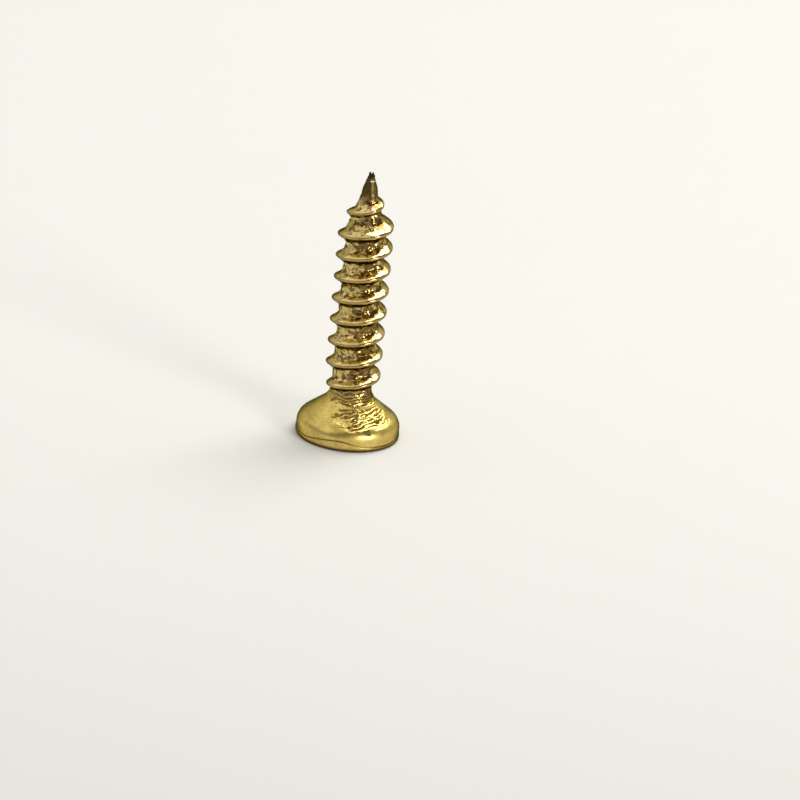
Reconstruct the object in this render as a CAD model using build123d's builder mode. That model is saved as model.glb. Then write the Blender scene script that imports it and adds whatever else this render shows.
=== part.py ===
from build123d import *
import math
import os

# Self-tapping screw with a countersunk head and a cross recess, headed and
# thread-rolled from one piece of wire.  Millimetres.
# The screw stands on its head: the origin is the centre of the flat face of the head,
# and +Z runs up the shank to the point.

# Driving sizes ---------------------------------------------------------------------
screw_length = 16.0  # flat face of the head to the end of the point

# Head
head_diameter = 6.0
face_edge_break = 0.14  # bevel between the flat face and the rim
rim_height = 0.65  # flat face to the top of the rim
rim_top_diameter = 5.95  # the rim leans in a little
shoulder_radius = 0.8  # full rounding between the rim and the cone
head_cone_angle = 104.0  # included angle of the countersunk underside
hollow_radius = 1.1  # hollow between the cone and the neck
neck_diameter = 2.38
neck_length = 0.5  # end of the hollow to the start of the threaded core

# Threaded core and point
core_diameter = 2.31  # at the head end
core_taper = 0.12  # loss of diameter from the head end to the point
point_length = 3.3  # end of the core to the end of the point
nose_diameter = 0.98  # where the taper turns into the nose
taper_hollow = 0.05  # how far the taper lies inside a straight cone, half-way
tip_diameter = 0.24
tip_height = 0.08  # the blunt end, a low cone

# Thread, right-handed
thread_diameter = 3.22
thread_pitch = 1.3
flank_angle = 30.0  # each flank to the plane across the axis
crest_width = 0.2
ridge_foot = 0.14  # how deep the foot of the ridge sits in the core
start_turn = 30.0  # degrees from +X to the first trace of the ridge
start_drop = 0.41  # how far below the end of the hollow the ridge begins
run_out_turns = 0.55
point_thread_length = 2.05  # how far up the point the ridge runs
point_ridge_height = 0.34  # half-way along that length
thread_end_gap = 0.05  # from the end of the ridge to the start of the nose
end_sink = 0.05  # both ends of the crest dive this far into the core

# Cross recess
recess_width = 3.9
wing_width = 0.98
corner_radius = 0.75  # hollow corners between the wings, at the face
wing_end_radius = 0.2
recess_depth = 1.55
wing_end_draft = 30.0  # slope of the wing ends, to the axis
wing_draft = 5.0  # slope of the wing sides, to the axis
floor_corner_radius = 0.3
floor_end_radius = 0.1
centre_depth = 0.3  # conical bottom below the wings

# Worked-out sizes ------------------------------------------------------------------
head_radius = head_diameter / 2
rim_top_radius = rim_top_diameter / 2
neck_radius = neck_diameter / 2
core_radius = core_diameter / 2
core_end_radius = (core_diameter - core_taper) / 2
nose_radius = nose_diameter / 2
tip_radius = tip_diameter / 2
half_cone = math.radians(head_cone_angle / 2)

# The shoulder is tangent to the leaning rim and to the cone, and the hollow to the cone.
rim_lean = math.atan((head_radius - rim_top_radius) / (rim_height - face_edge_break))
shoulder_end_radius = rim_top_radius - shoulder_radius * (math.cos(rim_lean) - math.cos(half_cone))
shoulder_end_z = rim_height + shoulder_radius * (math.sin(half_cone) - math.sin(rim_lean))
hollow_start_radius = neck_radius + hollow_radius * (1 - math.cos(half_cone))
cone_height = (shoulder_end_radius - hollow_start_radius) / math.tan(half_cone)
hollow_start_z = shoulder_end_z + cone_height
neck_z = hollow_start_z + hollow_radius * math.sin(half_cone)
core_z = neck_z + neck_length
point_z = screw_length - point_length
nose_z = point_z + point_thread_length + thread_end_gap
tip_z = screw_length - tip_height

# The ridge is laid on three helices end to end: run-out, full thread, point.
# Its heights are taken from its foot, which lies inside the core.
foot_radius = core_end_radius - ridge_foot
full_height = thread_diameter / 2 - foot_radius
point_height = ridge_foot + point_ridge_height
end_height = ridge_foot - end_sink
run_out_z = neck_z - start_drop
full_z = run_out_z + run_out_turns * thread_pitch
full_turns = (point_z - full_z) / thread_pitch
full_start_turn = start_turn + 360 * run_out_turns
point_start_turn = full_start_turn + 360 * full_turns
point_slope = (core_end_radius - nose_radius) / (nose_z - point_z)
foot_end_radius = foot_radius - point_slope * point_thread_length

wing_floor_width = wing_width - 2 * recess_depth * math.tan(math.radians(wing_draft))
floor_width = recess_width - 2 * recess_depth * math.tan(math.radians(wing_end_draft))


def ridge_section(station, height):
    """Section across the thread, from its foot in the core: two flanks and a narrow crest."""
    half_crest = crest_width / 2
    half_foot = half_crest + height * math.tan(math.radians(flank_angle))
    with BuildSketch(station) as section:
        with BuildLine():
            Polyline(
                (0, -half_foot), (height, -half_crest), (height, half_crest), (0, half_foot),
                close=True,
            )
        make_face()
    return section.sketch


def ridge(start_z, turn, length, radii, heights):
    """A length of thread on a helix; the heights are spaced evenly along it."""
    lean = math.degrees(math.atan((radii[1] - radii[0]) / length))
    with BuildPart() as stage:
        with BuildLine() as path:
            helix = Helix(
                thread_pitch,
                length,
                radii[0],
                center=(0, 0, start_z),
                cone_angle=lean,
                mode=Mode.PRIVATE,
            )
            add(helix.rotate(Axis.Z, turn))
        sections = []
        for number, height in enumerate(heights):
            place = number / (len(heights) - 1)
            centre = path.line @ place
            outward = Vector(centre.X, centre.Y, 0)
            station = Plane(origin=centre, x_dir=outward, z_dir=path.line % place)
            sections.append(ridge_section(station, height))
        sweep(sections=sections, path=path.line, is_frenet=True, multisection=True)
    return stage.part


def cross(depth, width, wing, corner, end):
    """Outline of the recess at one depth: four wings with hollow corners between them."""
    with BuildSketch(Plane.XY.offset(depth)) as outline:
        Rectangle(width, wing)
        Rectangle(wing, width)
        by_distance = outline.vertices().sort_by_distance((0, 0, depth))
        fillet(by_distance[:4], corner)
        by_distance = outline.vertices().sort_by_distance((0, 0, depth))
        fillet(by_distance[-8:], end)
    return outline.sketch


# Thread ------------------------------------------------------------------------------
run_out = ridge(
    run_out_z,
    start_turn,
    run_out_turns * thread_pitch,
    (foot_radius, foot_radius),
    (end_height, full_height),
)
full_thread = ridge(
    full_z,
    full_start_turn,
    point_z - full_z,
    (foot_radius, foot_radius),
    (full_height, full_height),
)
point_thread = ridge(
    point_z,
    point_start_turn,
    point_thread_length,
    (foot_radius, foot_end_radius),
    (full_height, point_height, end_height),
)

# Screw ---------------------------------------------------------------------------------
with BuildPart() as screw:
    # Head, neck, core and point, turned about the axis.
    with BuildSketch(Plane.XZ):
        with BuildLine():
            face = Line((0, 0), (head_radius - face_edge_break, 0))
            bevel = Line(face @ 1, (head_radius, face_edge_break))
            rim = Line(bevel @ 1, (rim_top_radius, rim_height))
            shoulder = TangentArc(
                rim @ 1, (shoulder_end_radius, shoulder_end_z), tangent=rim % 1
            )
            cone = Line(shoulder @ 1, (hollow_start_radius, hollow_start_z))
            hollow = TangentArc(cone @ 1, (neck_radius, neck_z), tangent=cone % 1)
            neck = Line(hollow @ 1, (core_radius, core_z))
            core = Line(neck @ 1, (core_end_radius, point_z))
            taper_middle = (
                (core_end_radius + nose_radius) / 2 - taper_hollow,
                (point_z + nose_z) / 2,
            )
            taper = ThreePointArc(core @ 1, taper_middle, (nose_radius, nose_z))
            nose = Line(taper @ 1, (tip_radius, tip_z))
            tip = Line(nose @ 1, (0, screw_length))
            Line(tip @ 1, face @ 0)
        make_face()
    revolve(axis=Axis.Z)

    add(run_out)
    add(full_thread)
    add(point_thread)

    # The recess: four wings that narrow with depth, and a conical bottom.
    mouth = cross(0, recess_width, wing_width, corner_radius, wing_end_radius)
    floor = cross(
        recess_depth, floor_width, wing_floor_width, floor_corner_radius, floor_end_radius
    )
    loft(sections=[mouth, floor], ruled=True, mode=Mode.SUBTRACT)
    with Locations((0, 0, recess_depth)):
        Cone(
            wing_floor_width / 2,
            0,
            centre_depth,
            align=(Align.CENTER, Align.CENTER, Align.MIN),
            mode=Mode.SUBTRACT,
        )

screw.part.label = "screw"
os.makedirs("parts", exist_ok=True)
export_step(screw.part, "parts/screw.step")
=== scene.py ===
"""Self-tapping brass screw: the finished screw around its fixed frame, and a plain pale stage."""

import math

import bmesh
import bpy
import numpy as np
from mathutils import Matrix, Vector, noise


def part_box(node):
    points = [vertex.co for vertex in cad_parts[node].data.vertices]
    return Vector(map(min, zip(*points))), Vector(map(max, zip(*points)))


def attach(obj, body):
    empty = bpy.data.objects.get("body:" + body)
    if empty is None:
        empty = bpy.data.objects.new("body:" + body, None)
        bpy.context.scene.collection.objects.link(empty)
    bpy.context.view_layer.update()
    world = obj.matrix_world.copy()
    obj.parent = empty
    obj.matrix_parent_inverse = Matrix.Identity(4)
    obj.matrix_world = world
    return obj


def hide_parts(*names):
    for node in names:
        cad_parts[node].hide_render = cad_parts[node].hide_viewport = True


bl_info = {
    "name": "Brass self-tapping screw",
    "version": (1, 0, 0),
    "blender": (4, 5, 0),
    "location": "3D View > Sidebar > Screw",
    "description": "Builds a countersunk brass screw with a rolled thread, and its stage",
    "category": "Object",
}

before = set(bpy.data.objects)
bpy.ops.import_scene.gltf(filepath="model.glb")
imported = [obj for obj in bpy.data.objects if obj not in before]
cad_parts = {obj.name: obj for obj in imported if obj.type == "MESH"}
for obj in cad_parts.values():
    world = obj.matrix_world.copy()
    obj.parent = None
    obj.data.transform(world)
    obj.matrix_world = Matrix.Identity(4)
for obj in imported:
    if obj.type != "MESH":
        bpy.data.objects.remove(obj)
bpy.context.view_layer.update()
SCREW_LOW, SCREW_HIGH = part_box("screw")

MM = 0.001
COLUMNS = 192  # points round the screw
ROWS_PER_TURN = 36  # points along one pitch of the thread


# Sizes and colours that a user would change ------------------------------------------


def length(label, text, millimetres):
    """A length setting, given in millimetres and kept in metres."""
    return bpy.props.FloatProperty(
        name=label, description=text, default=millimetres * MM, unit="LENGTH", precision=5
    )


def angle(label, text, degrees):
    """An angle setting."""
    return bpy.props.FloatProperty(
        name=label, description=text, default=math.radians(degrees), unit="ROTATION"
    )


def number(label, text, value):
    """A plain number setting."""
    return bpy.props.FloatProperty(name=label, description=text, default=value)


def colour(label, text, value):
    """A colour setting, in linear light."""
    return bpy.props.FloatVectorProperty(
        name=label, description=text, default=value, size=3, subtype="COLOR", min=0, max=1
    )


class HeadSizes(bpy.types.PropertyGroup):
    """Sizes of the head and its cross recess."""

    diameter: length("Diameter", "Across the rim", 2 * min(-SCREW_LOW.x, SCREW_HIGH.x) / MM)
    edge: length("Edge", "Rounding between the face and the rim", 0.14)
    rim_height: length("Rim height", "Face to the top of the rim", 0.65)
    rim_top: length("Rim top", "Diameter at the top of the rim, which leans in", 5.95)
    flash: length("Flash", "How far the upset metal below the die line stands out", 0.03)
    flash_height: length("Flash height", "Face to the lowest stretch of the die line", 0.24)
    shoulder: length("Shoulder", "Full rounding between the rim and the cone", 0.8)
    cone_angle: angle("Cone angle", "Included angle of the countersunk side", 104)
    hollow: length("Hollow", "Radius of the hollow between the cone and the neck", 1.1)
    recess_width: length("Recess width", "Wing end to wing end", 3.9)
    wing_width: length("Wing width", "Across one wing of the recess", 0.98)
    corner: length("Corner", "Hollow corners between the wings", 0.75)
    wing_end: length("Wing end", "Rounding at the wing ends", 0.2)
    recess_depth: length("Recess depth", "Face to the floor of the wings", 1.55)
    end_draft: angle("End draft", "Slope of the wing ends", 30)
    side_draft: angle("Side draft", "Slope of the wing sides", 5)
    floor_corner: length("Floor corner", "Hollow corners at the floor", 0.3)
    floor_end: length("Floor end", "Wing end rounding at the floor", 0.1)
    pit: length("Pit", "Depth of the conical bottom below the wings", 0.3)
    lip: length("Lip", "Rounding where the recess meets the face", 0.05)


class ShankSizes(bpy.types.PropertyGroup):
    """Sizes of the neck, core, thread and point."""

    length: length("Length", "Face of the head to the tip", SCREW_HIGH.z / MM)
    neck: length("Neck", "Diameter of the neck", 2.38)
    neck_length: length("Neck length", "Hollow to the start of the core", 0.5)
    core: length("Core", "Diameter of the core at the head end", 2.31)
    core_end: length("Core end", "Diameter of the core where the point begins", 2.19)
    point: length("Point", "Length of the point", 3.3)
    crest: length("Crest", "Diameter over the thread", 3.22)
    pitch: length("Pitch", "Advance of the thread in one turn", 1.3)
    flank: angle("Flank", "Each flank to the plane across the axis", 30)
    crest_width: length("Crest width", "Flat of the crest", 0.06)
    crest_round: length("Crest round", "Rounding from the crest into the flanks", 0.08)
    root_round: length("Root round", "Fillet between the flank and the core", 0.26)
    start_turn: angle("Start", "Where the first trace of the ridge stands", 30)
    start_drop: length("Start drop", "Start of the ridge below the neck", 0.41)
    run_out: number("Run-out", "Turns from the first trace to the full thread", 0.55)


class Finish(bpy.types.PropertyGroup):
    """Colours of the brass."""

    bright: colour("Bright", "Clean brass", (0.72, 0.56, 0.24))
    satin: colour("Satin", "Brass on the thread's sides", (0.52, 0.38, 0.12))
    golden: colour("Golden", "Satin brass of the head", (0.73, 0.55, 0.16))
    # This brown is also painted shade: it darkens the valleys, the recess, the folds and the lines
    # along the rim, where shade falls, as well as the real tarnish.
    brown_and_shade: colour("Brown", "Brass in the valleys and the recess", (0.13, 0.07, 0.015))
    point: colour("Point", "Dull brass of the point", (0.1, 0.07, 0.024))
    burnt: colour("Burnt", "The dark metal of the tip", (0.05, 0.035, 0.02))
    # Pale is a painted highlight: a thin light line along one side of the collar under the tip.
    pale: colour("Pale", "The torn collar under the tip", (0.50, 0.45, 0.33))
    # Painted dark outline and grey-green reflection, mixed in where the metal is seen at a slant.
    slant_shade: colour("Olive", "Old lacquer seen at a slant", (0.32, 0.32, 0.22))
    edge: colour("Edge", "Tint of the outline, where the metal is seen edge-on", (0.15, 0.15, 0.12))


class Stage(bpy.types.PropertyGroup):
    """Camera, lights and floor."""

    distance: length("Distance", "Camera to the foot of the screw", 300)
    elevation: angle("Elevation", "Camera above the horizon", 22.1)
    roll: angle("Roll", "Camera turned about its view", 5.45)
    aside: angle("Aside", "Foot of the screw to the left of the view axis", 0.583)
    below: angle("Below", "Foot of the screw below the view axis", 0.361)
    lens: number("Lens", "Focal length in millimetres", 234.5)
    floor: colour("Floor", "Pale paper", (0.595, 0.586, 0.561))
    key: number("Key", "Power of the window lamp, in watts", 4.0)
    low: number("Low", "Power of the low lamp at the front right, in watts", 2.6)
    above: number("Above", "Power of the lamp above, in watts", 1.5)
    sky: number("Sky", "Strength of the surroundings", 1.0)


SETTINGS = {
    "screw_head": HeadSizes,
    "screw_shank": ShankSizes,
    "screw_finish": Finish,
    "screw_stage": Stage,
}


def in_millimetres(group):
    """The settings of a group, with lengths in millimetres."""
    values = {}
    for key in group.bl_rna.properties.keys():
        prop = group.bl_rna.properties[key]
        if prop.type != "FLOAT" or key == "rna_type":
            continue
        value = getattr(group, key)
        values[key] = value / MM if prop.unit == "LENGTH" else value
    return values


# Shape -------------------------------------------------------------------------------

DARK_REFLECTION_SIDE = 305  # degrees from +X, the side of the core with the painted dark reflection
CREASE_SIDE = 290  # degrees from +X, the middle of the creased side
FOLD_SPACING = 0.23  # along the axis, at the neck
CONE_LEAN = 0.788  # share of the cone's outward direction that points up the axis
# Where the die line rises: degrees from +X, rise in millimetres, half-width in degrees.
DIE_WAVES = ((240, 0.17, 22), (264, 0.3, 20), (20, 0.1, 30), (105, 0.24, 26), (180, 0.08, 24))
# The point without its thread: distance below the tip, and radius there.
POINT_OUTLINE = (
    (2.8, 0.90),
    (1.55, 0.53),
    (1.3, 0.475),
    (0.92, 0.40),
    (0.55, 0.27),
    (0.19, 0.14),
    (0.06, 0.10),
)
# The crest as it sinks into the point: height above the foot of the point, and radius there.
SINKING_CREST = ((0.8, 1.2), (1.45, 0.86), (2.1, 0.3), (2.4, 0.0))
FIRST_CREST = 1.01  # radius of the crest at the first trace of the ridge
HIDDEN_CREST = 0.3  # radius of the crest below that, well inside the neck
GRID_BELOW_NECK = 0.6  # the threaded rows start this far below the neck
GRID_BELOW_TIP = 0.07  # and end this far below the tip
# The blunt end above the last row: share of its radius, and rise.
TIP_RINGS = ((1, 0), (0.8, 0.03), (0.4, 0.045), (0.02, 0.05))
FACE_SHARES = (0.06, 0.2, 0.4, 0.6, 0.8, 0.93, 1.0)  # rings from the recess to the face's edge


def smooth_max(a, b, width):
    """The larger of two radii, blended where they differ by less than width."""
    share = np.clip(0.5 + 0.5 * (a - b) / width, 0, 1)
    return b * (1 - share) + a * share + width * share * (1 - share)


def rough(points, size, seed, octaves=2):
    """Smooth noise, mostly from -1 to 1, at each point, with features of that size."""
    offset = Vector((seed * 7.31, seed * 3.17, seed * 5.73))
    values = [
        noise.fractal(Vector(p) / size + offset, 0.9, 2.1, octaves) for p in points.tolist()
    ]
    return 2.2 * np.array(values)


def cross_outline(half_width, half_wing, corner, end):
    """Outline of the recess at one depth, COLUMNS points anticlockwise from +X."""
    steps = COLUMNS // 8
    end_steps, round_steps, side_steps = steps // 9, steps // 4 + 1, steps // 4 + 1
    corner_steps = steps - end_steps - round_steps - side_steps
    eighth = []
    for i in range(end_steps):
        eighth.append((half_width, (half_wing - end) * i / end_steps))
    for i in range(round_steps):
        turn = math.pi / 2 * i / round_steps
        eighth.append(
            (
                half_width - end + end * math.cos(turn),
                half_wing - end + end * math.sin(turn),
            )
        )
    side_start, side_stop = half_width - end, half_wing + corner
    for i in range(side_steps):
        eighth.append((side_start + (side_stop - side_start) * i / side_steps, half_wing))
    for i in range(corner_steps + 1):
        turn = -math.pi / 2 - math.pi / 4 * i / corner_steps
        eighth.append(
            (
                half_wing + corner + corner * math.cos(turn),
                half_wing + corner + corner * math.sin(turn),
            )
        )
    quarter = eighth + [(y, x) for x, y in reversed(eighth[1:-1])]
    points = []
    for turn in range(4):
        for x, y in quarter:
            for _ in range(turn):
                x, y = -y, x
            points.append((x, y))
    return np.array(points)


def circle(radius):
    """COLUMNS points on a circle, anticlockwise from +X."""
    turns = np.arange(COLUMNS) * 2 * math.pi / COLUMNS
    return np.stack([radius * np.cos(turns), radius * np.sin(turns)], axis=1)


def at_height(outline, z):
    """A flat outline lifted to a height."""
    return np.column_stack([outline, np.full(len(outline), z)])


def recess_rings(head):
    """Rings from the bottom of the recess up its walls to the lip at the face."""
    depth = head["recess_depth"]
    half_width, half_wing = head["recess_width"] / 2, head["wing_width"] / 2
    floor_half_width = half_width - depth * math.tan(head["end_draft"])
    floor_half_wing = half_wing - depth * math.tan(head["side_draft"])
    floor = cross_outline(
        floor_half_width, floor_half_wing, head["floor_corner"], head["floor_end"]
    )
    mouth = cross_outline(half_width, half_wing, head["corner"], head["wing_end"])
    pit_circle = circle(floor_half_wing)
    rings = []
    for share in (0.02, 0.3, 0.6, 0.85, 1.0):  # the conical bottom, from its centre out
        rings.append(at_height(pit_circle * share, depth + head["pit"] * (1 - share)))
    for share in (0.35, 0.7, 0.9):  # the floor of the wings
        rings.append(at_height(pit_circle * (1 - share) + floor * share, depth))
    soft = 0.06  # rounding at the foot of the walls
    rings.append(at_height(floor * 0.985, depth - soft * 0.1))
    for step in range(1, 12):
        share = 1 - (1 - step / 12) ** 1.1
        z = depth - soft * 0.4 - (depth - soft * 0.4 - head["lip"]) * share
        wall = 1 - z / depth
        rings.append(at_height(floor * (1 - wall) + mouth * wall, z))
    lip = head["lip"]
    for step in range(4):
        turn = math.pi / 2 * step / 3
        out = lip * (1 - math.cos(turn))
        rounded = cross_outline(
            half_width + out, half_wing + out, head["corner"] - out, head["wing_end"] + out
        )
        rings.append(at_height(rounded, lip * (1 - math.sin(turn))))
    return rings


def rim_lean(head):
    """How far the rim leans in, as an angle to the axis."""
    return math.atan((head["diameter"] - head["rim_top"]) / 2 / (head["rim_height"] - head["edge"]))


def die_line(head, turns):
    """Height of the wavy line that the heading die leaves on the rim, round the rim."""
    line = head["flash_height"] + 0.01 * np.sin(turns * 11)
    for place, rise, reach in DIE_WAVES:
        away = side_angle(turns, place)
        line = line + rise * np.exp(-((away / math.radians(reach)) ** 2))
    return line


def face_rings(head, lip_ring):
    """Rings across the flat face, round its edge, up the rim and over the shoulder."""
    radius = head["diameter"] / 2
    edge, shoulder = head["edge"], head["shoulder"]
    inner = lip_ring[:, :2]
    outer = circle(radius - edge)
    rings = []
    for share in FACE_SHARES:
        rings.append(at_height(inner * (1 - share) + outer * share, 0.0))
    for step in range(1, 6):
        turn = math.pi / 2 * step / 5
        rings.append(
            at_height(circle(radius - edge + edge * math.sin(turn)), edge * (1 - math.cos(turn)))
        )
    rim_top, rim_height = head["rim_top"] / 2, head["rim_height"]
    line = die_line(head, np.arange(COLUMNS) * 2 * math.pi / COLUMNS)
    for share in np.linspace(-1, 1, 21)[1:]:
        curve = abs(share) ** 1.6
        z = line + (rim_height - line) * curve if share > 0 else line - (line - edge) * curve
        rise = (z - edge) / (rim_height - edge)
        wall = radius - head["flash"] + (rim_top - radius + head["flash"]) * rise
        below = np.clip((line - z) / 0.05 + 0.5, 0, 1)
        below = below * below * (3 - 2 * below)
        ring = circle(1.0) * np.minimum(wall + head["flash"] * below, radius)[:, None]
        rings.append(np.column_stack([ring, z]))
    half_cone, lean = head["cone_angle"] / 2, rim_lean(head)
    for step in range(1, 13):
        turn = lean + (half_cone - lean) * step / 12
        rings.append(
            at_height(
                circle(rim_top - shoulder * (math.cos(lean) - math.cos(turn))),
                rim_height + shoulder * (math.sin(turn) - math.sin(lean)),
            )
        )
    return rings


def blank_profile(head, shank):
    """Heights and radii of the blank from the shoulder to the tip, before threading."""
    half_cone, lean = head["cone_angle"] / 2, rim_lean(head)
    hollow, neck = head["hollow"], shank["neck"] / 2
    shoulder_end = head["rim_top"] / 2 - head["shoulder"] * (math.cos(lean) - math.cos(half_cone))
    shoulder_z = head["rim_height"] + head["shoulder"] * (math.sin(half_cone) - math.sin(lean))
    hollow_start = neck + hollow * (1 - math.cos(half_cone))
    hollow_z = shoulder_z + (shoulder_end - hollow_start) / math.tan(half_cone)
    neck_z = hollow_z + hollow * math.sin(half_cone)
    points = [(shoulder_z, shoulder_end)]
    for step in range(9):
        turn = half_cone * (1 - step / 8)
        points.append(
            (neck_z - hollow * math.sin(turn), neck + hollow * (1 - math.cos(turn)))
        )
    point_z = shank["length"] - shank["point"]
    top = shank["length"]
    points.append((neck_z + shank["neck_length"], shank["core"] / 2))
    points.append((point_z, shank["core_end"] / 2))
    points += [(top - below, radius) for below, radius in POINT_OUTLINE]
    heights, radii = zip(*points)
    return np.array(heights), np.array(radii), neck_z, point_z


def ridge_radius(z_crest, shank, neck_z, point_z):
    """Radius of the thread's crest where the crest is at that height."""
    start = neck_z - shank["start_drop"]
    full = start + shank["run_out"] * shank["pitch"]
    crest = shank["crest"] / 2
    heights = [start - 0.4, start, full, point_z]
    radii = [HIDDEN_CREST, FIRST_CREST, crest, crest]
    for rise, radius in SINKING_CREST:
        heights.append(point_z + rise)
        radii.append(radius)
    return np.interp(z_crest, heights, radii)


def row_places():
    """Places of the rows along one pitch, closer together at the crest and the roots."""
    u = np.linspace(-0.5, 0.5, 2001)
    at_crest = np.exp(-((u / 0.07) ** 2))
    at_roots = np.exp(-(((np.abs(u) - 0.27) / 0.08) ** 2))
    density = 1 + 2.2 * at_crest + 0.8 * at_roots
    total = np.concatenate([[0], np.cumsum((density[1:] + density[:-1]) / 2)])
    total /= total[-1]
    return np.interp(np.arange(ROWS_PER_TURN) / ROWS_PER_TURN, total, u)


def threaded_grid(head, shank, low, high):
    """Points of the threaded part: rows that follow the thread, and how high each stands
    on the thread from 0 at the core to 1 at the crest."""
    heights, radii, neck_z, point_z = blank_profile(head, shank)
    pitch = shank["pitch"]
    start = neck_z - shank["start_drop"]
    first = math.floor((low - start) / pitch) - 2
    last = math.ceil((high - start) / pitch) + 2
    places = row_places()
    row_turns = np.concatenate([turn + places for turn in range(first, last)])
    column_turns = np.arange(COLUMNS + 1) / COLUMNS - shank["start_turn"] / (2 * math.pi)
    z = start + pitch * (row_turns[:, None] + column_turns[None, :])
    z = np.clip(z, low, high)
    turn_here = np.broadcast_to(column_turns[None, :], z.shape)
    level = (z - start) / pitch - turn_here
    nearest = np.round(level)
    u = (level - nearest) * pitch
    z_crest = start + pitch * (nearest + turn_here)
    crest = ridge_radius(z_crest, shank, neck_z, point_z)
    wander = np.array([noise.noise(Vector((v * 1.9, 0.3, 7.7))) for v in z_crest.ravel()])
    crest = crest + 0.018 * wander.reshape(z.shape) - 0.008
    away = np.maximum(np.abs(u) - shank["crest_width"] / 2, 0)
    rounding = shank["crest_round"]
    fall = (np.sqrt(away**2 + rounding**2) - rounding) / math.tan(shank["flank"])
    ridge = crest - fall
    core = np.interp(z, heights, radii)
    root = shank["root_round"] * (1 - 0.6 * step_up(z, point_z + 0.4, point_z + 1.1))
    radius = smooth_max(core, ridge, root)
    stands = np.clip((radius - core) / np.maximum(crest - core, 0.05), 0, 1)
    around = 2 * math.pi * np.arange(COLUMNS + 1) / COLUMNS
    points = np.stack([radius * np.cos(around), radius * np.sin(around), z], axis=-1)
    return points, stands


def bands(rings):
    """Quads between rings of equal length that close on themselves."""
    faces = []
    for ring in range(len(rings) - 1):
        base, above = ring * COLUMNS, (ring + 1) * COLUMNS
        for i in range(COLUMNS):
            j = (i + 1) % COLUMNS
            faces.append((base + i, base + j, above + j, above + i))
    return faces


def grid_faces(rows, columns, start):
    """Quads of an open grid whose first point has the number start."""
    faces = []
    for row in range(rows - 1):
        for column in range(columns - 1):
            a = start + row * columns + column
            faces.append((a, a + 1, a + columns + 1, a + columns))
    return faces


def step_up(value, low, high):
    """0 below low and 1 above high, with a smooth rise between."""
    share = np.clip((value - low) / (high - low), 0, 1)
    return share * share * (3 - 2 * share)


def side_angle(turns, side):
    """Angle from one side of the screw, from -pi to pi; the side is in degrees from +X."""
    return (turns - math.radians(side) + math.pi) % (2 * math.pi) - math.pi


class Surface:
    """The points of the screw while the marks are made: where they were, where they have
    moved to, how dark each is with grime and painted shade, and how much it was worked,
    from 0 to 1."""

    def __init__(self, points, stands):
        self.points = points
        self.stands = stands
        x, y, self.z = points.T
        self.radius = np.hypot(x, y)
        flat = np.stack([x, y, np.zeros_like(x)], axis=1)
        self.out = flat / np.maximum(self.radius, 1e-6)[:, None]
        self.turns = np.arctan2(y, x) % (2 * math.pi)
        self.moved = points.copy()
        self.grime = np.zeros(len(points))
        self.worked = np.zeros(len(points))


def mark_rim(surface, head):
    """Painted shade along the rim: a dark line just above the heading die's line, where its step
    casts shadow, and a dark band low on the edge that the screw stands on.
    """
    z, radius = surface.z, surface.radius
    rim = (radius > head["diameter"] / 2 - 0.2) & (z < 1.2)
    line = die_line(head, surface.turns)
    # Painted shadow of the die line's step.
    surface.grime[rim] = np.exp(-(((z - line - 0.02) / 0.04) ** 2))[rim]
    # Painted shade low on the edge, where the screw meets the floor.
    surface.grime[rim] += (1 - step_up(z, 0.1, 0.28))[rim] * (radius > 2.85)[rim]


def crease_neck(surface, neck_z):
    """Creases of the cold metal: folds round the neck that spread down one side of the
    cone and slope there, with painted shade in the folds, round the neck and on the creased
    side, and one faint patch of painted shade below them."""
    z = surface.z
    outer = (z > 0.9) & (surface.radius > 1.6) | (z > neck_z - 0.7)
    index = np.nonzero(outer & (z < neck_z + 0.9))[0]
    here, zi = surface.points[index], z[index]
    away = side_angle(surface.turns[index], CREASE_SIDE)
    ragged = rough(here * np.array((1, 1, 1.5)), 0.5, 9, 3)

    # Where the creases are: all round the neck, and lower down on the creased side.
    side = step_up(1.25 + 0.3 * ragged - np.abs(away), 0, 0.7)
    lower = neck_z - 0.55 - 1.2 * side + 0.16 * ragged
    creased = step_up(zi, lower - 0.1, lower + 0.3) * step_up(neck_z + 0.75 - zi, 0, 0.6)
    at_neck = step_up(zi, neck_z - 0.8, neck_z - 0.4)
    creased *= (0.4 + 0.6 * np.maximum(side, 0.8 * at_neck)) * (1 - surface.stands[index])

    # Wavy folds a spacing apart, each broken in places.
    down = np.clip(neck_z - 0.2 - zi, 0, None)
    along = (zi - 0.6 * down - down * away * 0.4) / FOLD_SPACING
    along += 0.5 * rough(here * np.array((1, 1, 1.6)), 0.9, 13) + 0.12 * ragged
    folds = np.exp(-(((along % 1 - 0.5) / (0.2 - 0.04 * at_neck)) ** 2))
    folds *= step_up(rough(here, 0.5, 5) + 0.7 + at_neck, 0, 0.6)

    # They are pressed in square to the surface, which leans on the cone.
    lumps = rough(here * np.array((1, 1, 2.5)), 0.6, 7, 2)
    slope = CONE_LEAN * step_up(neck_z - 0.1 - zi, 0, 0.7)
    normal = surface.out[index] * np.sqrt(1 - slope**2)[:, None]
    normal += slope[:, None] * np.array((0, 0, 1))
    depth = (0.045 + 0.015 * at_neck) * folds - 0.02 * lumps + 0.02
    surface.moved[index] -= normal * (creased * depth)[:, None]

    # Painted shade: dark in the folds and round the neck, and a painted dark reflection on one part
    # of the creased side.
    shaded_side = 0.3 * step_up(away, 0, 0.4)
    surface.grime[index] += creased * (0.9 * folds + 0.35 * at_neck + shaded_side)
    # A faint patch of painted shade low on the cone.
    shade_patch = np.hypot((away + 0.3) / 0.4, (zi - 1.15) / 0.35) + 0.3 * ragged
    surface.grime[index] += 0.45 * step_up(-shade_patch, -1.3, -0.3)
    surface.worked[index] = creased


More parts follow.
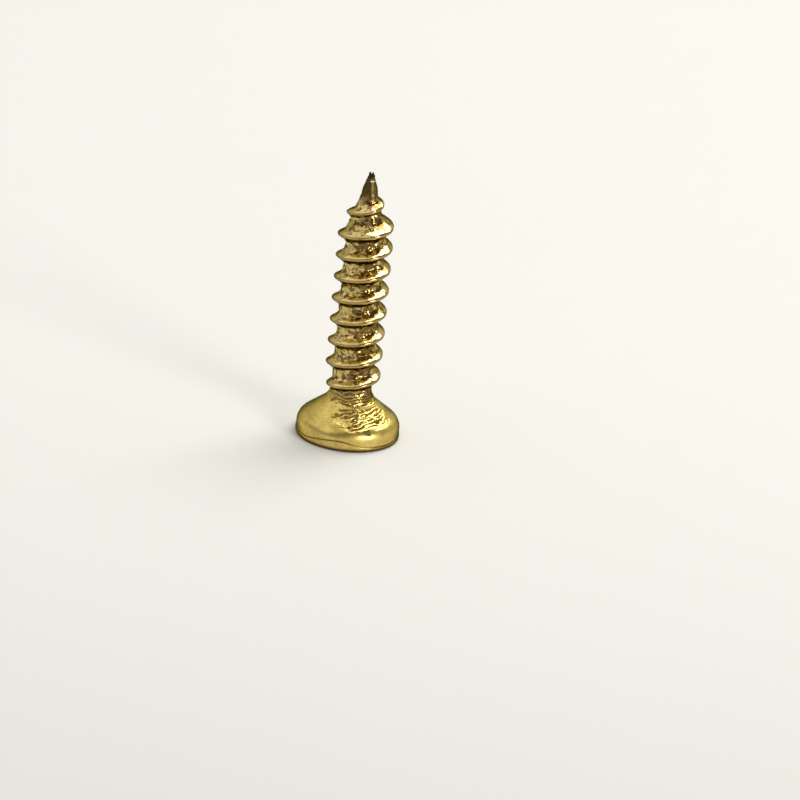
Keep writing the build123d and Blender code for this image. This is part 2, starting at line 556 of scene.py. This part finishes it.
def wear_core(surface, neck_z, top):
    """The uneven core and flanks with tarnish and painted shade, and the torn dark end of the point.
    """
    index = np.nonzero((surface.z > neck_z - 0.1) & (surface.radius > 1e-3))[0]
    here, at = surface.points[index], surface.radius[index]
    zi, on_ridge = surface.z[index], surface.stands[index]
    rolled = step_up(zi, neck_z, neck_z + 0.5)

    # Dents and pits of rolling, tears at the end, and the collar below them.
    thick = np.clip(at / 1.1, 0.1, 1) ** 1.5
    dents = rough(here * np.array((1, 1, 1.4)), 0.36, 1)
    pits = rough(here, 0.17, 2)
    torn = step_up(zi, top - 0.75, top - 0.2)
    tears = rough(here * np.array((1, 1, 0.6)), 0.12, 4, 3)
    collar = np.exp(-(((zi - (top - 0.53)) / 0.03) ** 2))
    uneven = dents * 0.028 * (1 - 0.85 * step_up(on_ridge, 0.1, 0.6))
    uneven += pits * 0.014 * (1 - step_up(on_ridge, 0.15, 0.5))
    uneven *= thick * rolled
    shift = uneven + tears * 0.026 * torn + collar * 0.012
    surface.moved[index] += surface.out[index] * (shift * np.clip(at / 0.1 - 0.3, 0, 1))[:, None]

    # Tarnish patches and veins on the core, kept off the ridge, with a painted dark reflection
    # on one side of the core, a painted shadow line along the crest, and the point darker.
    from_dark_side = surface.turns[index] - math.radians(DARK_REFLECTION_SIDE)
    # Painted dark reflection on one side of the core.
    dark_reflection_side = np.clip(np.cos(from_dark_side), 0, 1) ** 3
    patches = rough(here * np.array((1, 1, 1.2)), 0.3, 6, 3)
    tarnish_and_shade = step_up(patches + 1.3 * dark_reflection_side - 0.5, -0.2, 0.3)
    veins = np.exp(-((rough(here * np.array((1, 1, 1.3)), 0.5, 11, 2) / 0.1) ** 2))
    tarnish_and_shade = np.maximum(tarnish_and_shade, 0.75 * veins)
    edge_noise = 0.25 * rough(here, 0.25, 8)
    tarnish_and_shade *= 1 - step_up(on_ridge + edge_noise, 0.45, 0.7)
    # Painted shadow: a dark line along the crest.
    crest_shade_line = 0.5 * step_up(on_ridge, 0.93, 1.0)
    tip = step_up(zi, top - 1.9, top - 1.0) * step_up(0.6 + tears, 0.0, 1.0)
    surface.grime[index] += (0.9 * tarnish_and_shade + crest_shade_line) * rolled + 0.95 * tip
    surface.worked[index] = np.maximum(surface.worked[index], rolled)


def notch_tip(surface, top):
    """The notch across the tip, where it broke off."""
    notch = 0.14 * np.exp(-(((surface.points[:, 0] - 0.005) / 0.035) ** 2))
    surface.moved[:, 2] -= notch * step_up(surface.z, top - 0.35, top - 0.07)


def roughen(points, stands, head, shank, neck_z):
    """All marks of forging, rolling and breaking off, with the painted shade that goes with
    them. Gives the moved points and the two masks that the finish reads: the grime and
    painted shade, and worked."""
    surface = Surface(points, stands)
    mark_rim(surface, head)
    crease_neck(surface, neck_z)
    wear_core(surface, neck_z, shank["length"])
    notch_tip(surface, shank["length"])
    return surface.moved, np.clip(surface.grime, 0, 1), surface.worked


def make_mesh(head, shank):
    """The screw's mesh in metres, with the shape masks its finish reads."""
    recess = recess_rings(head)
    outside = face_rings(head, recess[-1])
    heights, radii, neck_z, _ = blank_profile(head, shank)
    low = neck_z - GRID_BELOW_NECK
    for z in np.linspace(heights[0], low, 45)[1:]:
        outside.append(at_height(circle(np.interp(z, heights, radii)), z))
    rings = recess + outside
    high = shank["length"] - GRID_BELOW_TIP
    grid, grid_stands = threaded_grid(head, shank, low, high)
    tip = [
        at_height(circle(np.interp(high, heights, radii) * share), high + rise)
        for share, rise in TIP_RINGS
    ]
    ring_points = np.concatenate(rings)
    tip_points = np.concatenate(tip)
    rows, columns = grid.shape[:2]
    points = np.concatenate([ring_points, grid.reshape(-1, 3), tip_points])
    stands = np.concatenate(
        [np.zeros(len(ring_points)), grid_stands.ravel(), np.zeros(len(tip_points))]
    )
    faces = bands(rings)
    faces += grid_faces(rows, columns, len(ring_points))
    tip_start = len(ring_points) + rows * columns
    faces += [tuple(tip_start + i for i in face) for face in bands(tip)]
    recess_end = len(recess) * COLUMNS
    face_end = recess_end + len(FACE_SHARES) * COLUMNS
    region = np.zeros(len(points))
    region[:recess_end] = 1
    region[recess_end:face_end] = 2
    moved, grime, worked = roughen(points, stands, head, shank, neck_z)
    mesh = bpy.data.meshes.new("screw_body")
    mesh.from_pydata((moved * MM).tolist(), [], faces)
    masks = {"stands": stands, "region": region, "grime": grime, "worked": worked}
    for label, values in masks.items():
        layer = mesh.attributes.new(label, "FLOAT", "POINT")
        layer.data.foreach_set("value", values.astype(np.float32))
    return mesh, neck_z


def clean(mesh):
    """Joins the points that lie together and drops the faces that closed up."""
    work = bmesh.new()
    work.from_mesh(mesh)
    bmesh.ops.remove_doubles(work, verts=work.verts, dist=1e-7)
    bmesh.ops.dissolve_degenerate(work, dist=1e-8, edges=work.edges)
    ends = [edge for edge in work.edges if edge.is_boundary]
    if ends:
        bmesh.ops.holes_fill(work, edges=ends, sides=0)
    bmesh.ops.recalc_face_normals(work, faces=work.faces)
    work.to_mesh(mesh)
    work.free()


# Finish ------------------------------------------------------------------------------


def add_node(tree, kind, **values):
    """A node with its named sockets set to values or linked to sockets; names that are
    not sockets are set as the node's own options."""
    node = tree.nodes.new(kind)
    for key, value in values.items():
        label = key.replace("_", " ")
        if hasattr(node, key) and label not in node.inputs:
            setattr(node, key, value)
            continue
        socket = node.inputs[label] if label in node.inputs else node.inputs[int(key[1:])]
        if isinstance(value, bpy.types.NodeSocket):
            tree.links.new(value, socket)
        else:
            socket.default_value = value
    return node


def rgba(value):
    """A colour with its alpha."""
    return (*value, 1.0)


def mix_colour(tree, factor, a, b, blend="MIX"):
    """Mixes two colours and gives the result's socket."""
    node = tree.nodes.new("ShaderNodeMix")
    node.data_type = "RGBA"
    node.blend_type = blend
    for socket, value in ((node.inputs[0], factor), (node.inputs[6], a), (node.inputs[7], b)):
        if isinstance(value, bpy.types.NodeSocket):
            tree.links.new(value, socket)
        else:
            socket.default_value = value
    return node.outputs[2]


def ranged(tree, value, low, high, to_low=0.0, to_high=1.0):
    """A value's range stretched to another, clamped."""
    node = add_node(
        tree,
        "ShaderNodeMapRange",
        interpolation_type="SMOOTHSTEP",
        Value=value,
        From_Min=low,
        From_Max=high,
        To_Min=to_low,
        To_Max=to_high,
    )
    return node.outputs[0]


def maths(tree, operation, a, b=0.0):
    """One sum of two values."""
    node = tree.nodes.new("ShaderNodeMath")
    node.operation = operation
    for socket, value in zip(node.inputs, (a, b)):
        if isinstance(value, bpy.types.NodeSocket):
            tree.links.new(value, socket)
        else:
            socket.default_value = value
    return node.outputs[0]


def new_group(label, inputs, outputs):
    """An empty shader group with its sockets, and its input and output nodes."""
    tree = bpy.data.node_groups.new(label, "ShaderNodeTree")
    for name, kind, default in inputs:
        socket = tree.interface.new_socket(name=name, in_out="INPUT", socket_type=kind)
        socket.default_value = default
    for name, kind in outputs:
        tree.interface.new_socket(name=name, in_out="OUTPUT", socket_type=kind)
    source = tree.nodes.new("NodeGroupInput")
    sink = tree.nodes.new("NodeGroupOutput")
    return tree, source.outputs, sink.inputs


def tarnish_group():
    """Patches of duller and darker brass over the clean metal."""
    tree, given, out = new_group(
        "Brass tarnish",
        (
            ("Clean", "NodeSocketColor", (0.7, 0.5, 0.2, 1)),
            ("Dull", "NodeSocketColor", (0.3, 0.2, 0.1, 1)),
            ("Patch Size", "NodeSocketFloat", 900.0),
            ("Amount", "NodeSocketFloat", 0.5),
        ),
        (("Colour", "NodeSocketColor"), ("Dullness", "NodeSocketFloat")),
    )
    place = tree.nodes.new("ShaderNodeTexCoord").outputs["Object"]
    broad = add_node(
        tree, "ShaderNodeTexNoise", Vector=place, Scale=given["Patch Size"], Detail=4.0, Roughness=0.6
    )
    fine = add_node(
        tree,
        "ShaderNodeTexNoise",
        Vector=place,
        Scale=maths(tree, "MULTIPLY", given["Patch Size"], 4.3),
        Detail=3.0,
    )
    both = maths(tree, "ADD", broad.outputs[0], maths(tree, "MULTIPLY", fine.outputs[0], 0.35))
    patches = ranged(tree, both, 0.56, 0.82)
    dullness = maths(tree, "MULTIPLY", patches, given["Amount"])
    specks = add_node(tree, "ShaderNodeTexNoise", Vector=place, Scale=9000.0, Detail=2.0)
    shade = ranged(tree, specks.outputs[0], 0.3, 0.7, 0.86, 1.12)
    mixed = mix_colour(tree, dullness, given["Clean"], given["Dull"])
    tree.links.new(mix_colour(tree, 1.0, mixed, shade, "MULTIPLY"), out["Colour"])
    tree.links.new(dullness, out["Dullness"])
    return tree


def grain_group():
    """Fine dents and drawn lines for the bump, and a roughness that wanders with them."""
    tree, given, out = new_group(
        "Brass grain",
        (
            ("Dent Size", "NodeSocketFloat", 2500.0),
            ("Line Stretch", "NodeSocketFloat", 12.0),
            ("Smooth", "NodeSocketFloat", 0.15),
            ("Rough", "NodeSocketFloat", 0.35),
        ),
        (("Height", "NodeSocketFloat"), ("Roughness", "NodeSocketFloat")),
    )
    place = tree.nodes.new("ShaderNodeTexCoord").outputs["Object"]
    split = add_node(tree, "ShaderNodeSeparateXYZ", Vector=place)
    stretched = add_node(
        tree,
        "ShaderNodeCombineXYZ",
        X=split.outputs[0],
        Y=split.outputs[1],
        Z=maths(tree, "MULTIPLY", split.outputs[2], given["Line Stretch"]),
    )
    dents = add_node(
        tree, "ShaderNodeTexNoise", Vector=place, Scale=given["Dent Size"], Detail=3.0
    )
    lines = add_node(
        tree, "ShaderNodeTexNoise", Vector=stretched.outputs[0], Scale=1400.0, Detail=4.0
    )
    height = maths(tree, "ADD", dents.outputs[0], maths(tree, "MULTIPLY", lines.outputs[0], 0.5))
    tree.links.new(height, out["Height"])
    wander = add_node(tree, "ShaderNodeTexNoise", Vector=place, Scale=1300.0, Detail=2.0)
    spread = maths(tree, "SUBTRACT", given["Rough"], given["Smooth"])
    share = ranged(tree, wander.outputs[0], 0.35, 0.65)
    rough_here = maths(tree, "ADD", given["Smooth"], maths(tree, "MULTIPLY", share, spread))
    tree.links.new(rough_here, out["Roughness"])
    return tree


# Bands of the point's finish and of the painted highlight on its collar, each from one distance below
# the tip to another.
DULL_BAND = (2.0 * MM, 1.0 * MM)
BURNT_BAND = (0.45 * MM, 0.3 * MM)
# These two bands bound the painted highlight on the collar.
COLLAR_HIGHLIGHT_FOOT = (0.58 * MM, 0.55 * MM)
COLLAR_HIGHLIGHT_TOP = (0.51 * MM, 0.48 * MM)


def dress_thread(tree, finish, tint, rough_value):
    """Painted shade in the valleys, and up the point a dull stretch, a painted highlight on one side
    of the collar and a burnt tip.
    """
    stands = add_node(tree, "ShaderNodeAttribute", attribute_name="stands").outputs["Fac"]
    place = tree.nodes.new("ShaderNodeTexCoord").outputs["Object"]
    across, _, height = add_node(tree, "ShaderNodeSeparateXYZ", Vector=place).outputs

    def band(limits, low=0.0, high=1.0):
        """A value that changes from low to high over one band of the point."""
        start, stop = limits
        return ranged(tree, height, SCREW_HIGH.z - start, SCREW_HIGH.z - stop, low, high)

    # Painted shade: the valleys between the turns darkened towards brown.
    valley_shade = ranged(tree, stands, 0.1, 0.7, 0.1, 0.0)
    tint = mix_colour(tree, valley_shade, tint, rgba(finish.brown_and_shade))
    dark = band(DULL_BAND, 0.0, 0.95)
    tint = mix_colour(tree, dark, tint, rgba(finish.point))
    rough_value = maths(tree, "ADD", rough_value, maths(tree, "MULTIPLY", dark, 0.36))
    burr = band(BURNT_BAND)
    tint = mix_colour(tree, burr, tint, rgba(finish.burnt))
    # Painted highlight: a pale line along the collar under the tip, on one side only.
    collar = maths(tree, "MULTIPLY", band(COLLAR_HIGHLIGHT_FOOT), band(COLLAR_HIGHLIGHT_TOP, 1.0, 0.0))
    collar = maths(tree, "MULTIPLY", collar, ranged(tree, across, -0.1 * MM, 0.05 * MM))
    tint = mix_colour(tree, collar, tint, rgba(finish.pale))
    rough_value = maths(tree, "ADD", rough_value, maths(tree, "MULTIPLY", burr, 0.3))
    return tint, rough_value


def brass_material(label, finish, clean_colour, dull_colour, groups, **look):
    """A brass finish: tarnish, grime and painted shade over clean metal, a painted dark
    outline and grey-green reflection where it is seen at a slant, and grain in the bump
    and the roughness."""
    material = bpy.data.materials.new(label)
    material.use_nodes = True
    tree = material.node_tree
    shader = tree.nodes["Principled BSDF"]
    shader.inputs["Metallic"].default_value = 1.0
    tarnish = tree.nodes.new("ShaderNodeGroup")
    tarnish.node_tree = groups["tarnish"]
    tarnish.inputs["Clean"].default_value = rgba(clean_colour)
    tarnish.inputs["Dull"].default_value = rgba(dull_colour)
    tarnish.inputs["Patch Size"].default_value = look["patch"]
    tarnish.inputs["Amount"].default_value = look["amount"]
    grain = tree.nodes.new("ShaderNodeGroup")
    grain.node_tree = groups["grain"]
    grain.inputs["Dent Size"].default_value = look["dents"]
    grain.inputs["Line Stretch"].default_value = look.get("stretch", 12.0)
    grain.inputs["Smooth"].default_value = look["smooth"]
    grain.inputs["Rough"].default_value = look["rough"]
    tint = tarnish.outputs["Colour"]
    rough_value = grain.outputs["Roughness"]
    # Grime and painted shade from the mesh, mixed towards brown.
    grime = add_node(tree, "ShaderNodeAttribute", attribute_name="grime").outputs["Fac"]
    tint = mix_colour(tree, grime, tint, rgba(finish.brown_and_shade))
    worked = add_node(tree, "ShaderNodeAttribute", attribute_name="worked").outputs["Fac"]
    shine = ranged(tree, worked, 0.0, 1.0, 1.0, look.get("worked_shine", 1.0))
    rough_value = maths(tree, "MULTIPLY", rough_value, shine)
    if look.get("thread"):
        tint, rough_value = dress_thread(tree, finish, tint, rough_value)
    # Painted dark outline and grey-green reflection where the surface is seen at a slant.
    slant = add_node(tree, "ShaderNodeLayerWeight", Blend=0.5).outputs["Facing"]
    slant_shade = ranged(tree, slant, 0.5, 0.95, 0.0, 0.95)
    tint = mix_colour(tree, slant_shade, tint, rgba(finish.slant_shade))
    bump = add_node(
        tree,
        "ShaderNodeBump",
        Strength=look["bump"],
        Distance=look.get("bump_height", 0.01) * MM,
        Height=grain.outputs["Height"],
    )
    shader.inputs["Specular Tint"].default_value = rgba(finish.edge)
    tree.links.new(tint, shader.inputs["Base Color"])
    tree.links.new(rough_value, shader.inputs["Roughness"])
    tree.links.new(bump.outputs[0], shader.inputs["Normal"])
    return material


def make_materials(finish):
    """The four finishes of the screw: head, face, recess and thread."""
    groups = {"tarnish": tarnish_group(), "grain": grain_group()}
    bright, satin, brown_and_shade = finish.bright, finish.satin, finish.brown_and_shade
    return [
        brass_material(
            "brass_head", finish, finish.golden, satin, groups,
            patch=700.0, amount=0.6, dents=2600.0, smooth=0.27, rough=0.38, bump=0.5,
            bump_height=0.02, worked_shine=0.65,
        ),
        brass_material(
            "brass_face", finish, bright, satin, groups,
            patch=900.0, amount=0.5, dents=3500.0, smooth=0.25, rough=0.4, bump=0.3, stretch=1.0,
        ),
        # Painted shade in the recess: darker satin brass, mostly turned to brown.
        brass_material(
            "brass_recess", finish, satin, brown_and_shade, groups,
            patch=1500.0, amount=0.9, dents=3000.0, smooth=0.2, rough=0.4, bump=0.6,
        ),
        brass_material(
            "brass_thread", finish, bright, satin, groups,
            patch=1200.0, amount=0.5, dents=3800.0, smooth=0.07, rough=0.16, bump=0.45,
            bump_height=0.02, thread=True,
        ),
    ]


# Operators ---------------------------------------------------------------------------


class ScrewOperator(bpy.types.Operator):
    """Build the screw: head, recess, neck, thread and point in one piece of brass"""

    bl_idname = "brass_screw.screw"
    bl_label = "Build the screw"

    def execute(self, context):
        head = in_millimetres(context.scene.screw_head)
        shank = in_millimetres(context.scene.screw_shank)
        mesh, neck_z = make_mesh(head, shank)
        clean(mesh)
        if not mesh.polygons:
            raise RuntimeError("the screw's mesh has no faces")
        screw = bpy.data.objects.new("screw_body", mesh)
        context.scene.collection.objects.link(screw)
        for material in make_materials(context.scene.screw_finish):
            mesh.materials.append(material)
        self.share_finishes(mesh, neck_z)
        mesh.shade_smooth()
        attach(screw, "root")
        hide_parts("screw")
        return {"FINISHED"}

    @staticmethod
    def share_finishes(mesh, neck_z):
        """Gives each face the finish of its part of the screw."""
        count = len(mesh.vertices)
        region = np.zeros(count, np.float32)
        mesh.attributes["region"].data.foreach_get("value", region)
        heights = np.array([v.co.z for v in mesh.vertices])
        slots = []
        for polygon in mesh.polygons:
            corners = list(polygon.vertices)
            kind = region[corners]
            if kind.min() > 1.5:
                slots.append(1)
            elif kind.min() > 0.5:
                slots.append(2)
            elif heights[corners].min() > (neck_z - 0.3) * MM:
                slots.append(3)
            else:
                slots.append(0)
        mesh.polygons.foreach_set("material_index", slots)
        mesh.attributes.remove(mesh.attributes["region"])


# Each lamp: its place and its two sides, in metres, and its tint.
WINDOW_LAMP = ((0.18, 0.22, 0.53), (0.32, 0.6), (1, 1, 0.98))
LOW_LAMP = ((0.39, -0.37, 0.15), (0.18, 0.24), (1, 1, 0.98))
TOP_LAMP = ((-0.3, -0.05, 0.56), (0.8, 0.8), (1, 1, 0.97))

# The surroundings, in linear light.
HORIZON = (0.46, 0.45, 0.41)
OVERHEAD = (0.22, 0.21, 0.19)
BEHIND_CAMERA = (0.16, 0.14, 0.11)
WINDOW_WALL = (0.76, 0.76, 0.72)

SHEET_FLAT = 0.42  # metres from the screw to where the paper starts to rise
SHEET_CURVE = 0.12  # radius of that rise
SHEET_RISE = 80  # degrees that it turns up
SHEET_STEPS = 8


def add_lamp(context, label, lamp_set, power):
    """A soft rectangular lamp aimed at the middle of the screw."""
    place, size, tint = lamp_set
    data = bpy.data.lights.new(label, "AREA")
    data.shape = "RECTANGLE"
    data.size, data.size_y = size
    data.energy = power
    data.color = tint
    lamp = bpy.data.objects.new(label, data)
    lamp.location = place
    aim = Vector((0, 0, 0.006)) - Vector(place)
    lamp.rotation_euler = aim.to_track_quat("-Z", "Y").to_euler()
    context.scene.collection.objects.link(lamp)


def add_camera(context, stage):
    """The camera at the product view, a little rolled, with the screw left of centre."""
    data = bpy.data.cameras.new("camera")
    data.sensor_width = 36.0
    data.lens = stage.lens
    data.clip_start, data.clip_end = 0.01, 10.0
    camera = bpy.data.objects.new("camera", data)
    rise = stage.elevation
    back = Vector((0, -math.cos(rise), math.sin(rise)))
    look = (-back).to_track_quat("-Z", "Y").to_matrix()
    off_axis = Vector((-math.tan(stage.aside), -math.tan(stage.below), -1)).normalized()
    swing = off_axis.rotation_difference(Vector((0, 0, -1))).to_matrix()
    camera.matrix_world = Matrix.Translation(back * stage.distance) @ (
        look @ Matrix.Rotation(stage.roll, 3, "Z") @ swing
    ).to_4x4()
    context.scene.collection.objects.link(camera)
    context.scene.camera = camera


def make_floor(context, stage):
    """A pale sheet that curves up all round, with painted shade that darkens it towards the front."""
    work = bmesh.new()
    profile = [(0.0, 0.0), (0.2, 0.0), (SHEET_FLAT, 0.0)]
    for step in range(1, SHEET_STEPS + 1):
        turn = math.radians(SHEET_RISE) * step / SHEET_STEPS
        rise = SHEET_CURVE * (1 - math.cos(turn))
        profile.append((SHEET_FLAT + SHEET_CURVE * math.sin(turn), rise))
    points = [work.verts.new((r, 0, z)) for r, z in profile]
    edges = [work.edges.new(pair) for pair in zip(points, points[1:])]
    bmesh.ops.spin(
        work, geom=points + edges, cent=(0, 0, 0), axis=(0, 0, 1), angle=2 * math.pi, steps=96
    )
    bmesh.ops.remove_doubles(work, verts=work.verts, dist=1e-5)
    bmesh.ops.recalc_face_normals(work, faces=work.faces)
    mesh = bpy.data.meshes.new("floor")
    work.to_mesh(mesh)
    work.free()
    mesh.shade_smooth()
    floor = bpy.data.objects.new("floor", mesh)
    context.scene.collection.objects.link(floor)
    material = bpy.data.materials.new("paper")
    material.use_nodes = True
    tree = material.node_tree
    shader = tree.nodes["Principled BSDF"]
    place = tree.nodes.new("ShaderNodeTexCoord").outputs["Object"]
    fibres = add_node(tree, "ShaderNodeTexNoise", Vector=place, Scale=25.0, Detail=2.0)
    shade = tuple(channel * 0.985 for channel in stage.floor)  # between the fibres
    tint = mix_colour(tree, fibres.outputs[0], rgba(shade), rgba(stage.floor))
    split = add_node(tree, "ShaderNodeSeparateXYZ", Vector=place)
    # Painted shade: the paper darkened towards the front.
    near = ranged(tree, split.outputs[1], -0.1, 0.02, 0.8, 1.0)
    tint = mix_colour(tree, 1.0, tint, near, "MULTIPLY")
    tree.links.new(tint, shader.inputs["Base Color"])
    shader.inputs["Roughness"].default_value = 0.75
    shader.inputs["Specular IOR Level"].default_value = 0.2
    mesh.materials.append(material)


def make_world(context, stage):
    """Surroundings that are pale near the horizon, dimmer overhead and behind the camera,
    and brightest at the wall with the window, beyond the screw."""
    world = bpy.data.worlds.new("surroundings")
    context.scene.world = world
    world.use_nodes = True
    tree = world.node_tree
    background = tree.nodes["Background"]
    place = tree.nodes.new("ShaderNodeTexCoord").outputs["Generated"]
    split = add_node(tree, "ShaderNodeSeparateXYZ", Vector=place)
    up = ranged(tree, split.outputs[2], 0.3, 0.85)
    front = ranged(tree, split.outputs[1], -0.85, -0.15, 1.0, 0.0)
    low = ranged(tree, split.outputs[2], 0.25, 0.6, 1.0, 0.0)
    room = mix_colour(tree, up, rgba(HORIZON), rgba(OVERHEAD))
    shade = maths(tree, "MULTIPLY", front, low)
    room = mix_colour(tree, shade, room, rgba(BEHIND_CAMERA))
    back = ranged(tree, split.outputs[1], 0.1, 0.8)
    window = maths(tree, "MULTIPLY", back, ranged(tree, split.outputs[2], 0.5, 0.85, 1.0, 0.0))
    room = mix_colour(tree, window, room, rgba(WINDOW_WALL))
    tree.links.new(room, background.inputs["Color"])
    background.inputs["Strength"].default_value = stage.sky


class StageOperator(bpy.types.Operator):
    """Set the screw on a pale floor, with soft lamps and the camera"""

    bl_idname = "brass_screw.stage"
    bl_label = "Build the stage"

    def execute(self, context):
        stage = context.scene.screw_stage
        make_floor(context, stage)
        make_world(context, stage)
        add_lamp(context, "window_lamp", WINDOW_LAMP, stage.key)
        add_lamp(context, "low_lamp", LOW_LAMP, stage.low)
        add_lamp(context, "top_lamp", TOP_LAMP, stage.above)
        add_camera(context, stage)
        context.scene.view_settings.view_transform = "Standard"
        return {"FINISHED"}


class ScrewPanel(bpy.types.Panel):
    """The screw's settings and builders"""

    bl_idname = "VIEW3D_PT_brass_screw"
    bl_label = "Brass screw"
    bl_space_type = "VIEW_3D"
    bl_region_type = "UI"
    bl_category = "Screw"

    def draw(self, context):
        for label in SETTINGS:
            group = getattr(context.scene, label)
            box = self.layout.box()
            for key in group.__annotations__:
                box.prop(group, key)
        self.layout.operator(ScrewOperator.bl_idname)
        self.layout.operator(StageOperator.bl_idname)


CLASSES = (HeadSizes, ShankSizes, Finish, Stage, ScrewOperator, StageOperator, ScrewPanel)


def register():
    """Adds the settings, the operators and the panel."""
    for cls in CLASSES:
        bpy.utils.register_class(cls)
    for label, cls in SETTINGS.items():
        setattr(bpy.types.Scene, label, bpy.props.PointerProperty(type=cls))


def unregister():
    """Takes them away again."""
    for label in SETTINGS:
        delattr(bpy.types.Scene, label)
    for cls in reversed(CLASSES):
        bpy.utils.unregister_class(cls)


def main():
    """Builds the screw and its stage."""
    register()
    bpy.ops.brass_screw.screw()
    bpy.ops.brass_screw.stage()


if __name__ == "__main__":
    main()
